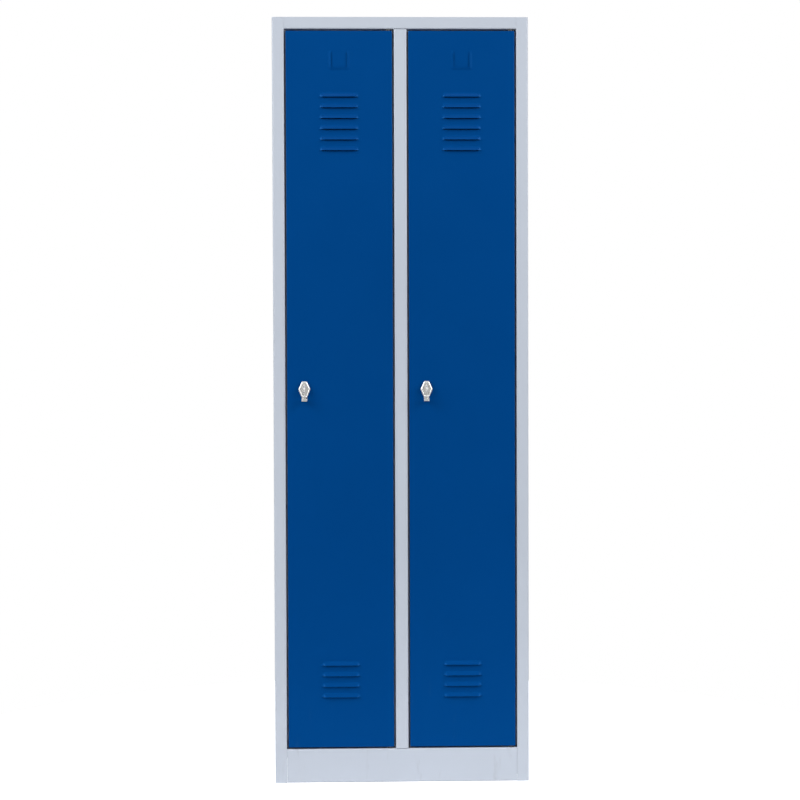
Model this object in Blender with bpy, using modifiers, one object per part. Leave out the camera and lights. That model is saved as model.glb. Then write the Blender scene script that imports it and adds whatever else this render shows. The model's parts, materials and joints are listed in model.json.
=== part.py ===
"""School locker: two compartments side by side, each behind a pivot-hung door with a turn latch.

Metres, +Z up. The front looks along -Y, and +X is to the right of someone facing it.
The origin is on the floor, in the middle of the whole object's box. Folded sheet parts are
open profiles given a thickness: the profile is drawn so that the metal lies on its left.
Each moving group hangs on an empty that stands on its joint's axis.
"""
import math

import bmesh
import bpy
from mathutils import Matrix, Vector

# Carcass
WIDTH = 0.600
HEIGHT = 1.800
DEPTH = 0.500
PLINTH = 0.080
TOP_RAIL = 0.028
SIDE_STILE = 0.028
CENTRE_STILE = 0.030
SHEET = 0.0008
FRAME_SHEET = 0.0012
GAP = 0.0003
BACK_FLANGE = 0.015
ROOF_FLANGE = 0.015
FOOT_FLANGE = 0.020
PLINTH_FLANGE = 0.030
STRIKE_DEPTH = 0.024
STRIKE_LIP = 0.012
PARTITION_FLANGE = 0.020

# Doors
DOOR_GAP = 0.004
DOOR_DEPTH = 0.020
DOOR_LIP = 0.012
STIFFENER_RISE = 0.014
STIFFENER_LEVELS = (0.310, 1.460)
STIFFENER_HALF_WIDTHS = (0.030, 0.018, 0.012)

# Louvres, measured from the mouth of each one
LOUVRE_PITCH = 0.025
UPPER_LOUVRE = 1.614
UPPER_COUNT = 6
LOWER_LOUVRE = 0.278
LOWER_COUNT = 4
LOUVRE_RISE = 0.011
LOUVRE_STAND = 0.006
LOUVRE_SKIM = 0.0001
LOUVRE_END_WALL = 0.0013
LIP_HALF_LENGTH = 0.040
CROWN_HALF_LENGTH = 0.044
ROOT_HALF_LENGTH = 0.048

# Label pocket: a raised border, open at the top
LABEL_CENTRE = 1.699
LABEL_HALF_WIDTH = 0.027
LABEL_HALF_HEIGHT = 0.024
LABEL_BORDER = 0.0085
LABEL_RISE = 0.0012
LABEL_SPLAY = 0.005

# Pivot hinges
HINGE_INSET = 0.010
HINGE_DEPTH = 0.007
PIN_RADIUS = 0.0030
PIN_HEAD = (0.0045, 0.0020)
PIN_REACH = 0.012
PIN_HOLE = 0.0034
BUSH_RADIUS = 0.0050
BUSH_COLLAR = 0.0060
BUSH_LENGTH = 0.012
HINGE_PLATE = (0.030, 0.018, 0.003)

# Turn latch, measured from the door's front face
LATCH_INSET = 0.0405
LATCH_HEIGHT = 0.929
DIAMOND_HALF_WIDTH = 0.0146
DIAMOND_HALF_HEIGHT = 0.0193
DIAMOND_FLAT = 0.006
DIAMOND_FACE = 0.0068
DIAMOND_BACK = 0.0021
DIAMOND_CHAMFER = 0.0018
FIN_TIP = 0.0210
FIN_FOOT = 0.012
FIN_THICKNESS = 0.004
EYE_RADIUS = 0.0035
EYE_STAND = 0.0140
STRAP_HALF_WIDTH = 0.0063
STRAP_TOP = 0.017
STRAP_FACE = 0.0018
LUG_TOP = 0.0214
LUG_BOTTOM = 0.0275
LUG_TIP = 0.0205
BARREL_RADIUS = 0.0080
BARREL_HOLE = 0.0047
BARREL_END = 0.024
NUT_RADIUS = 0.013
NUT_DEPTH = 0.004
SPINDLE_HALF = 0.003
SPINDLE_SLACK = 0.0003
SOCKET_DEPTH = 0.003
CAM_FRONT = 0.0265
CAM_THICKNESS = 0.0025
CAM_REACH = 0.0415
CAM_ROUND = 0.009
CAM_TIP = 0.006
SCREW_RADIUS = 0.002
SCREW_LENGTH = 0.008
SCREW_HEAD = (0.005, 0.003)

# Buffers on the strike lips
BUFFER_LEVELS = (0.300, 1.500)
BUFFER_HALF_WIDTH = 0.003
BUFFER_HALF_HEIGHT = 0.012

# Inside each compartment
SHELF_TOP = 1.480
SHELF_SETBACK = 0.060
SHELF_FLANGE = 0.020
RAIL_HEIGHT = 1.425
RAIL_RADIUS = 0.008
RAIL_WALL = 0.0012
SOCKET_FLANGE = (0.014, 0.002)
SOCKET_CUP = (0.010, 0.012)
HOOKS_PER_RAIL = 3
HOOK_PITCH = 0.085
WIRE_RADIUS = 0.002
RING_RADIUS = 0.0115
RING_DROP = 0.0012
RING_ENDS = (-70.0, 250.0)
SHANK_TOP = 0.022
SHANK_END = 0.050
BOWL_RADIUS = 0.009
TIP_RISE = 0.008

ROUND = 24

# Places worked out from the sizes above
FRONT = (FIN_TIP - DEPTH) / 2
BACK = FRONT + DEPTH
HALF = WIDTH / 2
OPENING_LOW = PLINTH
OPENING_HIGH = HEIGHT - TOP_RAIL
OPENINGS = {
    "left": (SIDE_STILE - HALF, -CENTRE_STILE / 2),
    "right": (CENTRE_STILE / 2, HALF - SIDE_STILE),
}
DOOR_LOW = OPENING_LOW + DOOR_GAP
DOOR_HIGH = OPENING_HIGH - DOOR_GAP
RAIL_LIP = FRONT + STRIKE_DEPTH + FRAME_SHEET + GAP
BACK_FACE = BACK - SHEET - GAP
PARTITION_FRONT = RAIL_LIP + FRAME_SHEET + GAP + SHEET
FLOOR_FRONT = RAIL_LIP + FRAME_SHEET + GAP
HINGE_Y = FRONT + HINGE_DEPTH
ALONG_Y = Matrix.Rotation(math.radians(-90), 4, "X")
FACING_FRONT = Matrix.Rotation(math.radians(90), 4, "X")
ALONG_X = Matrix.Rotation(math.radians(90), 4, "Y")


def collection(name):
    group = bpy.data.collections.new(name)
    bpy.context.scene.collection.children.link(group)
    return group


def clear_scene():
    for old in list(bpy.data.objects):
        bpy.data.objects.remove(old, do_unlink=True)


clear_scene()
PARTS = collection("school_locker")
CUTTERS = collection("cutters")


def finish(name, colour, roughness, metallic):
    material = bpy.data.materials.new(name)
    material.use_nodes = True
    shader = material.node_tree.nodes["Principled BSDF"]
    shader.inputs["Base Color"].default_value = (*colour, 1.0)
    shader.inputs["Roughness"].default_value = roughness
    shader.inputs["Metallic"].default_value = metallic
    return material


GREY_PAINT = finish("grey_paint", (0.58, 0.62, 0.69), 0.45, 0.0)
BLUE_PAINT = finish("blue_paint", (0.004, 0.058, 0.223), 0.40, 0.0)
CHROME = finish("chrome", (0.80, 0.80, 0.78), 0.15, 1.0)
ZINC = finish("zinc_plate", (0.62, 0.63, 0.64), 0.35, 1.0)
BLACK_STEEL = finish("black_steel", (0.045, 0.045, 0.048), 0.45, 0.0)
RUBBER = finish("rubber", (0.02, 0.02, 0.02), 0.80, 0.0)
NYLON = finish("nylon", (0.035, 0.035, 0.038), 0.50, 0.0)


def mesh_object(name, shape, material):
    """Turn a bmesh into an object: a part if it has a material, or else a cutter."""
    bmesh.ops.recalc_face_normals(shape, faces=shape.faces)
    mesh = bpy.data.meshes.new(name)
    shape.to_mesh(mesh)
    shape.free()
    return place_object(name, mesh, material)


def place_object(name, data, material):
    piece = bpy.data.objects.new(name, data)
    if material is None:
        CUTTERS.objects.link(piece)
        piece.hide_render = True
        piece.display_type = "WIRE"
        return piece
    data.materials.append(material)
    PARTS.objects.link(piece)
    return piece


def add_box(shape, low, high):
    low, high = Vector(low), Vector(high)
    frame = Matrix.Translation((low + high) / 2) @ Matrix.Diagonal((*(high - low), 1.0))
    return bmesh.ops.create_cube(shape, size=1.0, matrix=frame)["verts"]


def add_cylinder(shape, centre, radius, length, turn, segments=ROUND):
    bmesh.ops.create_cone(
        shape, cap_ends=True, segments=segments, radius1=radius, radius2=radius,
        depth=length, matrix=Matrix.Translation(centre) @ turn)


def block(name, low, high, material):
    shape = bmesh.new()
    add_box(shape, low, high)
    return mesh_object(name, shape, material)


def combine(piece, operation, other):
    """Cut or join another object into a piece."""
    step = piece.modifiers.new(other.name, "BOOLEAN")
    step.operation = operation
    step.solver = "EXACT"
    step.object = other


def thicken(piece, thickness):
    shell = piece.modifiers.new("sheet", "SOLIDIFY")
    shell.thickness = thickness
    shell.offset = -1.0
    shell.use_even_offset = True


def folded_sheet(name, profile, plane, levels, thickness, material, left_out=()):
    """Sweep a 2D profile through the levels, then give it the sheet's thickness.

    left_out names the (fold, bay) faces that are notched away.
    """
    spots = {
        "XY": lambda u, v, w: (u, v, w),
        "YZ": lambda u, v, w: (w, u, v),
        "ZX": lambda u, v, w: (v, w, u),
    }
    shape = bmesh.new()
    grid = [[shape.verts.new(spots[plane](u, v, w)) for u, v in profile] for w in levels]
    for bay in range(len(levels) - 1):
        for fold in range(len(profile) - 1):
            if (fold, bay) in left_out:
                continue
            shape.faces.new((grid[bay][fold], grid[bay][fold + 1],
                             grid[bay + 1][fold + 1], grid[bay + 1][fold]))
    loose = [vert for vert in shape.verts if not vert.link_faces]
    bmesh.ops.delete(shape, geom=loose, context="VERTS")
    mesh = bpy.data.meshes.new(name)
    shape.to_mesh(mesh)
    shape.free()
    piece = place_object(name, mesh, material)
    thicken(piece, thickness)
    return piece


def extrude_rim(shape):
    rim = [edge for edge in shape.edges if edge.is_boundary]
    grown = bmesh.ops.extrude_edge_only(shape, edges=rim)["geom"]
    return [item for item in grown if isinstance(item, bmesh.types.BMVert)]


def pan(name, width, height, flange, lip, frame, material):
    """A tray folded from one sheet: a flat face, four flanges and, if asked for, four lips."""
    shape = bmesh.new()
    bmesh.ops.create_grid(shape, x_segments=1, y_segments=1, size=0.5)
    bmesh.ops.scale(shape, vec=(width, height, 1.0), verts=shape.verts)
    bmesh.ops.translate(shape, vec=(0.0, 0.0, -flange), verts=extrude_rim(shape))
    if lip:
        inward = (1 - 2 * lip / width, 1 - 2 * lip / height, 1.0)
        bmesh.ops.scale(shape, vec=inward, verts=extrude_rim(shape))
    bmesh.ops.transform(shape, matrix=frame, verts=shape.verts)
    piece = mesh_object(name, shape, material)
    thicken(piece, SHEET)
    return piece


def flat_plate(name, outline, low, high, frame, material):
    """A flat outline between two depths of its own Z, placed by a frame."""
    curve = bpy.data.curves.new(name + "_outline", "CURVE")
    curve.dimensions = "2D"
    curve.fill_mode = "BOTH"
    curve.extrude = (high - low) / 2
    line = curve.splines.new("POLY")
    line.points.add(len(outline) - 1)
    line.use_cyclic_u = True
    for point, (u, v) in zip(line.points, outline):
        point.co = (u, v, 0.0, 1.0)
    guide = bpy.data.objects.new(name + "_outline", curve)
    guide.matrix_world = frame @ Matrix.Translation((0.0, 0.0, (low + high) / 2))
    CUTTERS.objects.link(guide)
    bpy.context.view_layer.update()
    mesh = bpy.data.meshes.new_from_object(guide.evaluated_get(bpy.context.evaluated_depsgraph_get()))
    mesh.name = name
    shape = bmesh.new()
    shape.from_mesh(mesh)
    bmesh.ops.remove_doubles(shape, verts=shape.verts, dist=1e-6)
    shape.to_mesh(mesh)
    shape.free()
    mesh.materials.clear()
    piece = place_object(name, mesh, material)
    piece.matrix_world = guide.matrix_world.copy()
    bpy.data.objects.remove(guide, do_unlink=True)
    return piece


def turned(name, profile, frame, material, closed=False):
    """Turn a profile of (radius, height) points about Z, then place it by a frame."""
    mesh = bpy.data.meshes.new(name)
    edges = [(i, i + 1) for i in range(len(profile) - 1)]
    if closed:
        edges.append((len(profile) - 1, 0))
    mesh.from_pydata([(radius, 0.0, height) for radius, height in profile], edges, [])
    piece = place_object(name, mesh, material)
    piece.matrix_world = frame
    lathe = piece.modifiers.new("lathe", "SCREW")
    lathe.steps = ROUND
    lathe.render_steps = ROUND
    lathe.use_merge_vertices = True
    lathe.merge_threshold = 1e-5
    return piece


def arc(centre, radius, start, end, count):
    """Points along an arc, with the angles in degrees."""
    angles = [math.radians(start + (end - start) * i / (count - 1)) for i in range(count)]
    return [(centre[0] + radius * math.cos(a), centre[1] + radius * math.sin(a)) for a in angles]


def mirrored(profile):
    return [(-x, y) for x, y in reversed(profile)]


def pivot(name, point, parent=None):
    """An empty on a joint's axis, which its moving pieces hang on."""
    empty = bpy.data.objects.new(name, None)
    PARTS.objects.link(empty)
    empty.location = point
    if parent:
        hang(parent, [empty])
    return empty


def hang(empty, pieces):
    bpy.context.view_layer.update()
    for piece in pieces:
        piece.parent = empty
        piece.matrix_parent_inverse = empty.matrix_world.inverted()


# Carcass

def side_panel(side):
    """The side wall, with its front edge folded round into the stile, jamb and strike lip."""
    jamb = OPENINGS["left"][0]
    strike = FRONT + STRIKE_DEPTH
    profile = [
        (BACK_FLANGE - HALF, BACK_FACE), (-HALF, BACK_FACE), (-HALF, FRONT),
        (jamb, FRONT), (jamb, strike), (jamb + STRIKE_LIP, strike),
    ]
    notches = {(3, 0), (4, 0), (0, 2), (3, 2), (4, 2)}
    if side == "right":
        profile = mirrored(profile)
        notches = {(len(profile) - 2 - fold, bay) for fold, bay in notches}
    levels = (0.0, OPENING_LOW, OPENING_HIGH, HEIGHT)
    folded_sheet(f"{side}_side_panel", profile, "XY", levels, SHEET, GREY_PAINT, notches)


def centre_stile():
    """A hat section whose brims are the strike lips of both inner door edges."""
    half = CENTRE_STILE / 2
    strike = FRONT + STRIKE_DEPTH
    profile = [
        (-half - STRIKE_LIP, strike), (-half, strike), (-half, FRONT),
        (half, FRONT), (half, strike), (half + STRIKE_LIP, strike),
    ]
    levels = (OPENING_LOW + GAP, OPENING_HIGH - GAP)
    folded_sheet("centre_stile", profile, "XY", levels, FRAME_SHEET, GREY_PAINT)


def rail_holes(name, level):
    shape = bmesh.new()
    for side in OPENINGS:
        add_cylinder(shape, (hinge_x(side), HINGE_Y, level), PIN_HOLE, 4 * FRAME_SHEET, Matrix())
    return mesh_object(name, shape, None)


def top_rail():
    profile = [
        (FRONT, HEIGHT), (FRONT, OPENING_HIGH), (RAIL_LIP, OPENING_HIGH),
        (RAIL_LIP, OPENING_HIGH - STRIKE_LIP),
    ]
    half = HALF - SIDE_STILE - GAP
    rail = folded_sheet("top_rail", profile, "YZ", (-half, half), FRAME_SHEET, GREY_PAINT)
    combine(rail, "DIFFERENCE", rail_holes("top_pin_holes", OPENING_HIGH))


def plinth():
    profile = [
        (RAIL_LIP, OPENING_LOW + STRIKE_LIP), (RAIL_LIP, OPENING_LOW), (FRONT, OPENING_LOW),
        (FRONT, 0.0), (FRONT + PLINTH_FLANGE, 0.0),
    ]
    half = HALF - SIDE_STILE - GAP
    board = folded_sheet("plinth", profile, "YZ", (-half, half), FRAME_SHEET, GREY_PAINT)
    combine(board, "DIFFERENCE", rail_holes("bottom_pin_holes", OPENING_LOW))


def roof_panel():
    front = FRONT + FRAME_SHEET + GAP
    back = BACK_FACE - GAP
    frame = Matrix.Translation((0.0, (front + back) / 2, HEIGHT))
    pan("roof_panel", WIDTH - 2 * (SHEET + GAP), back - front, ROOF_FLANGE, 0.0, frame, GREY_PAINT)


def floor_panel():
    """The compartments' floor, standing on its own folded side flanges."""
    half = HALF - SHEET - GAP
    profile = [
        (0.0, FOOT_FLANGE - half), (0.0, -half), (OPENING_LOW, -half),
        (OPENING_LOW, half), (0.0, half), (0.0, half - FOOT_FLANGE),
    ]
    levels = (FLOOR_FRONT, BACK_FACE - SHEET - GAP)
    folded_sheet("floor_panel", profile, "ZX", levels, SHEET, GREY_PAINT)


def back_panel():
    block("back_panel", (-HALF, BACK - SHEET, 0.0), (HALF, BACK, HEIGHT), GREY_PAINT)


def centre_partition():
    """The wall between the compartments, notched at its top back corner for the roof's flange."""
    notch = BACK_FACE - SHEET - 2 * GAP
    profile = [
        (STRIKE_LIP, BACK_FACE), (-SHEET / 2, BACK_FACE), (-SHEET / 2, notch),
        (-SHEET / 2, PARTITION_FRONT), (-PARTITION_FLANGE, PARTITION_FRONT),
    ]
    levels = (OPENING_LOW + GAP, HEIGHT - ROOF_FLANGE - GAP, HEIGHT - SHEET - GAP)
    notches = {(0, 1), (1, 1)}
    folded_sheet("centre_partition", profile, "XY", levels, SHEET, GREY_PAINT, notches)


def buffers(side):
    """Rubber pads on the strike lip, on the latch side of the door."""
    x = OPENINGS[side][0] + STRIKE_LIP - BUFFER_HALF_WIDTH - GAP
    for number, level in enumerate(BUFFER_LEVELS, 1):
        low = (x - BUFFER_HALF_WIDTH, FRONT + DOOR_DEPTH + GAP, level - BUFFER_HALF_HEIGHT)
        high = (x + BUFFER_HALF_WIDTH, FRONT + STRIKE_DEPTH - GAP, level + BUFFER_HALF_HEIGHT)
        block(f"{side}_buffer_{number}", low, high, RUBBER)


# Interior

def compartment(side):
    """The clear width between the side wall and the partition."""
    inner, outer = SHEET / 2 + GAP, HALF - SHEET - GAP
    return (-outer, -inner) if side == "left" else (inner, outer)


def hat_shelf(side):
    low, high = compartment(side)
    front = FRONT + SHELF_SETBACK
    back = BACK_FACE - SHEET - GAP
    frame = Matrix.Translation(((low + high) / 2, (front + back) / 2, SHELF_TOP))
    pan(f"{side}_hat_shelf", high - low, back - front, SHELF_FLANGE, 0.0, frame, GREY_PAINT)


def clothes_rail(side):
    """A tube along X, its ends in flanged cups on the wall and the partition."""
    low, high = compartment(side)
    centre = (FRONT + BACK) / 2
    flange, seat = SOCKET_FLANGE
    cup, depth = SOCKET_CUP
    mouth = RAIL_RADIUS + GAP
    socket = [
        (0.0, seat), (mouth, seat), (mouth, depth), (cup, depth),
        (cup, seat), (flange, seat), (flange, 0.0), (0.0, 0.0),
    ]
    outward = {1: ALONG_X, 2: ALONG_X.inverted()}
    for number, x in ((1, low), (2, high)):
        frame = Matrix.Translation((x, centre, RAIL_HEIGHT)) @ outward[number]
        turned(f"{side}_rail_socket_{number}", socket, frame, ZINC)
    half = (high - low) / 2 - seat - GAP
    inner = RAIL_RADIUS - RAIL_WALL
    tube = [(RAIL_RADIUS, half), (RAIL_RADIUS, -half), (inner, -half), (inner, half)]
    frame = Matrix.Translation(((low + high) / 2, centre, RAIL_HEIGHT)) @ ALONG_X
    turned(f"{side}_clothes_rail", tube, frame, ZINC, closed=True)


def hook_route():
    """The bent wire in the YZ plane: a ring over the rail, a straight shank and a bowl."""
    ring = arc((0.0, -RING_DROP), RING_RADIUS, *RING_ENDS, 15)
    shank = [(0.0, -SHANK_TOP), (0.0, -SHANK_END)]
    bowl = arc((-BOWL_RADIUS, -SHANK_END), BOWL_RADIUS, 0.0, -180.0, 8)[1:]
    tip = [(-2 * BOWL_RADIUS, TIP_RISE - SHANK_END)]
    return ring + shank + bowl + tip


def coat_hooks(side):
    low, high = compartment(side)
    for number in range(1, HOOKS_PER_RAIL + 1):
        name = f"{side}_coat_hook_{number}"
        x = (low + high) / 2 + HOOK_PITCH * (number - (HOOKS_PER_RAIL + 1) / 2)
        route = hook_route()
        curve = bpy.data.curves.new(name, "CURVE")
        curve.dimensions = "3D"
        curve.bevel_depth = WIRE_RADIUS
        curve.bevel_resolution = 2
        curve.use_fill_caps = True
        line = curve.splines.new("POLY")
        line.points.add(len(route) - 1)
        for point, (y, z) in zip(line.points, route):
            point.co = (0.0, y, z, 1.0)
        hook = place_object(name, curve, ZINC)
        hook.location = (x, (FRONT + BACK) / 2, RAIL_HEIGHT)


# Doors

def door_edges(side):
    low, high = OPENINGS[side]
    return low + DOOR_GAP, high - DOOR_GAP


def hinge_x(side):
    return door_edges(side)[1] - HINGE_INSET


def latch_x(side):
    return door_edges(side)[0] + LATCH_INSET


def louvre_mouths():
    upper = [UPPER_LOUVRE - LOUVRE_PITCH * i for i in range(UPPER_COUNT)]
    lower = [LOWER_LOUVRE - LOUVRE_PITCH * i for i in range(LOWER_COUNT)]
    return upper + lower


def add_hood(shape, x, mouth, hollow):
    """A louvre's wedge, or the hollow under it: longest on the skin, shortest at its lip.

    The hollow keeps the sheet's thickness to the wedge, and runs through the skin and the mouth.
    """
    shrink = SHEET * math.hypot(1 / LOUVRE_STAND, 1 / LOUVRE_RISE) if hollow else 0.0
    stand, rise = LOUVRE_STAND * (1 - shrink), LOUVRE_RISE * (1 - shrink)
    end_wall, drop, inner = (LOUVRE_END_WALL, SHEET, SHEET + GAP) if hollow else (0.0, 0.0, SHEET / 2)
    corners = {
        ("skin", "low"): (ROOT_HALF_LENGTH, inner, -drop),
        ("skin", "high"): (CROWN_HALF_LENGTH, inner, rise),
        ("out", "high"): (CROWN_HALF_LENGTH, -LOUVRE_SKIM, rise),
        ("out", "low"): (LIP_HALF_LENGTH, -stand * (1 + drop / rise), -drop),
    }
    for vert in add_box(shape, (-1.0, -1.0, -1.0), (1.0, 1.0, 1.0)):
        key = ("out" if vert.co.y < 0.0 else "skin", "high" if vert.co.z > 0.0 else "low")
        half, depth, height = corners[key]
        vert.co = (x + math.copysign(half - end_wall, vert.co.x), FRONT + depth, mouth + height)


def hoods(name, x, hollow):
    """All the louvre wedges of a door, or all the hollows that open them."""
    shape = bmesh.new()
    for mouth in louvre_mouths():
        add_hood(shape, x, mouth, hollow)
    return mesh_object(name, shape, None)


def label_border(name, x):
    half_w, half_h = LABEL_HALF_WIDTH, LABEL_HALF_HEIGHT
    inner_w, inner_h = half_w - LABEL_BORDER, half_h - LABEL_BORDER
    right = [(half_w, -half_h), (half_w, half_h), (inner_w + LABEL_SPLAY, half_h),
             (inner_w, inner_h), (inner_w, -inner_h)]
    left = [(-u, v) for u, v in reversed(right)]
    frame = Matrix.Translation((x, FRONT, LABEL_CENTRE)) @ FACING_FRONT
    return flat_plate(name, right + left, -SHEET / 2, LABEL_RISE, frame, None)


def door_holes(name, side):
    shape = bmesh.new()
    add_cylinder(shape, (latch_x(side), FRONT, LATCH_HEIGHT), BARREL_RADIUS + GAP, 4 * SHEET, ALONG_Y)
    for level in (DOOR_LOW, DOOR_HIGH):
        add_cylinder(shape, (hinge_x(side), HINGE_Y, level), BUSH_RADIUS + GAP, 4 * SHEET, Matrix())
    return mesh_object(name, shape, None)


def door_panel(side):
    low, high = door_edges(side)
    middle = (low + high) / 2
    frame = Matrix.Translation((middle, FRONT, (DOOR_LOW + DOOR_HIGH) / 2)) @ FACING_FRONT
    door = pan(f"{side}_door_panel", high - low, DOOR_HIGH - DOOR_LOW, DOOR_DEPTH, DOOR_LIP,
               frame, BLUE_PAINT)
    combine(door, "UNION", hoods(f"{side}_hoods", middle, hollow=False))
    combine(door, "UNION", label_border(f"{side}_label_border", middle))
    combine(door, "DIFFERENCE", hoods(f"{side}_hood_hollows", middle, hollow=True))
    combine(door, "DIFFERENCE", door_holes(f"{side}_door_holes", side))
    return door


def door_stiffener(side):
    brim, foot, crown = STIFFENER_HALF_WIDTHS
    middle = sum(door_edges(side)) / 2
    skin = FRONT + SHEET + GAP
    half = [(-brim, skin), (-foot, skin), (-crown, skin + STIFFENER_RISE)]
    profile = [(middle + u, v) for u, v in half + mirrored(half)]
    return folded_sheet(f"{side}_door_stiffener", profile, "XY", STIFFENER_LEVELS, SHEET, BLUE_PAINT)


def hinge(side, end):
    """One pivot: a headed pin in a plate inside the rail or plinth, and a collared bush in the door.

    It is drawn for the bottom, upwards from the rail's inner face, and turned over for the top.
    """
    length, depth, thickness = HINGE_PLATE
    head_radius, head_height = PIN_HEAD
    level = OPENING_LOW if end == "bottom" else OPENING_HIGH
    up = 1.0 if end == "bottom" else -1.0
    x = hinge_x(side)
    frame = Matrix.Translation((x, HINGE_Y, level))
    if end == "top":
        frame = frame @ Matrix.Rotation(math.pi, 4, "X")

    plate_top = FRAME_SHEET + GAP
    plate_y = FRONT + FRAME_SHEET + GAP
    faces = sorted((level - up * plate_top, level - up * (plate_top + thickness)))
    plate = block(f"{side}_{end}_hinge_plate", (x - length / 2, plate_y, faces[0]),
                  (x + length / 2, plate_y + depth, faces[1]), ZINC)
    hole = bmesh.new()
    add_cylinder(hole, (x, HINGE_Y, sum(faces) / 2), PIN_HOLE, 2 * thickness, Matrix())
    combine(plate, "DIFFERENCE", mesh_object(f"{side}_{end}_plate_hole", hole, None))

    shoulder = -(plate_top + thickness + GAP)
    tip = DOOR_GAP + PIN_REACH
    pin = [
        (0.0, tip), (PIN_RADIUS, tip), (PIN_RADIUS, shoulder), (head_radius, shoulder),
        (head_radius, shoulder - head_height), (0.0, shoulder - head_height),
    ]
    turned(f"{side}_{end}_hinge_pin", pin, frame, BLACK_STEEL)

    bush = [
        (BUSH_RADIUS, DOOR_GAP + BUSH_LENGTH), (BUSH_RADIUS, DOOR_GAP - GAP),
        (BUSH_COLLAR, DOOR_GAP - GAP), (BUSH_COLLAR, GAP), (PIN_HOLE, GAP),
        (PIN_HOLE, DOOR_GAP + BUSH_LENGTH),
    ]
    return turned(f"{side}_{end}_hinge_bush", bush, frame, NYLON, closed=True)


# Turn latch: x and z are measured from the spindle, and depth from the door's front face

def latch_base(side, x):
    """The strap on the door's face, its padlock lug, and the threaded barrel through the door."""
    z = LATCH_HEIGHT
    base = block(f"{side}_latch_base", (x - STRAP_HALF_WIDTH, FRONT - STRAP_FACE, z - LUG_BOTTOM),
                 (x + STRAP_HALF_WIDTH, FRONT - GAP, z + STRAP_TOP), CHROME)
    solids = bmesh.new()
    add_box(solids, (x - STRAP_HALF_WIDTH, FRONT - LUG_TIP, z - LUG_BOTTOM),
            (x + STRAP_HALF_WIDTH, FRONT - STRAP_FACE / 2, z - LUG_TOP))
    barrel_start = -STRAP_FACE / 2
    add_cylinder(solids, (x, FRONT + (barrel_start + BARREL_END) / 2, z), BARREL_RADIUS,
                 BARREL_END - barrel_start, ALONG_Y)
    combine(base, "UNION", mesh_object(f"{side}_lug_and_barrel", solids, None))
    holes = bmesh.new()
    add_cylinder(holes, (x, FRONT + BARREL_END / 2, z), BARREL_HOLE, 2 * BARREL_END, ALONG_Y)
    add_cylinder(holes, (x, FRONT - EYE_STAND, z - (LUG_TOP + LUG_BOTTOM) / 2), EYE_RADIUS,
                 2 * (LUG_BOTTOM - LUG_TOP), Matrix())
    combine(base, "DIFFERENCE", mesh_object(f"{side}_base_holes", holes, None))
    return base


def latch_nut(side, x):
    shape = bmesh.new()
    middle = FRONT + SHEET + GAP + NUT_DEPTH / 2
    add_cylinder(shape, (x, middle, LATCH_HEIGHT), NUT_RADIUS, NUT_DEPTH, ALONG_Y, segments=6)
    nut = mesh_object(f"{side}_latch_nut", shape, ZINC)
    hole = bmesh.new()
    add_cylinder(hole, (x, middle, LATCH_HEIGHT), BARREL_RADIUS + GAP, 2 * NUT_DEPTH, ALONG_Y)
    combine(nut, "DIFFERENCE", mesh_object(f"{side}_nut_hole", hole, None))
    return nut


def add_square_hole(shape, x, near, far):
    half = SPINDLE_HALF + SPINDLE_SLACK
    add_box(shape, (x - half, near, LATCH_HEIGHT - half), (x + half, far, LATCH_HEIGHT + half))


def latch_handle(side, x):
    """The diamond that is gripped, with an upright fin whose eye takes a padlock's shackle."""
    half_w, half_h, flat = DIAMOND_HALF_WIDTH, DIAMOND_HALF_HEIGHT, DIAMOND_FLAT
    diamond = [(half_w, 0.0), (flat, half_h), (-flat, half_h)]
    diamond += [(-u, -v) for u, v in diamond]
    frame = Matrix.Translation((x, FRONT, LATCH_HEIGHT)) @ FACING_FRONT
    handle = flat_plate(f"{side}_latch_handle", diamond, DIAMOND_BACK, DIAMOND_FACE, frame, CHROME)
    edge = handle.modifiers.new("chamfer", "BEVEL")
    edge.width = DIAMOND_CHAMFER
    edge.segments = 1
    edge.limit_method = "ANGLE"
    edge.angle_limit = math.radians(40)
    crown = FIN_TIP - EYE_STAND
    root = (DIAMOND_FACE + DIAMOND_BACK) / 2
    fin = [(root, -FIN_FOOT), (DIAMOND_FACE, -FIN_FOOT)]
    fin += arc((EYE_STAND, 0.0), crown, -60.0, 60.0, 9)
    fin += [(DIAMOND_FACE, FIN_FOOT), (root, FIN_FOOT)]
    upright = Matrix.Translation((x, FRONT, LATCH_HEIGHT)) @ Matrix(
        ((0.0, 0.0, 1.0, 0.0), (-1.0, 0.0, 0.0, 0.0), (0.0, 1.0, 0.0, 0.0), (0.0, 0.0, 0.0, 1.0)))
    blade = flat_plate(f"{side}_fin", fin, -FIN_THICKNESS / 2, FIN_THICKNESS / 2, upright, None)
    combine(handle, "UNION", blade)
    holes = bmesh.new()
    add_cylinder(holes, (x, FRONT - EYE_STAND, LATCH_HEIGHT), EYE_RADIUS, 2 * FIN_THICKNESS, ALONG_X)
    add_square_hole(holes, x, FRONT - DIAMOND_BACK - SOCKET_DEPTH, FRONT)
    combine(handle, "DIFFERENCE", mesh_object(f"{side}_handle_holes", holes, None))
    return handle


def latch_spindle(side, x):
    tail = FRONT + CAM_FRONT + CAM_THICKNESS - GAP
    nose = FRONT - DIAMOND_BACK - SOCKET_DEPTH + GAP
    low = (x - SPINDLE_HALF, nose, LATCH_HEIGHT - SPINDLE_HALF)
    high = (x + SPINDLE_HALF, tail, LATCH_HEIGHT + SPINDLE_HALF)
    spindle = block(f"{side}_latch_spindle", low, high, ZINC)
    tapping = bmesh.new()
    add_cylinder(tapping, (x, tail, LATCH_HEIGHT), SCREW_RADIUS + GAP, 2 * (SCREW_LENGTH + GAP), ALONG_Y)
    combine(spindle, "DIFFERENCE", mesh_object(f"{side}_spindle_tapping", tapping, None))
    return spindle


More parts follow.
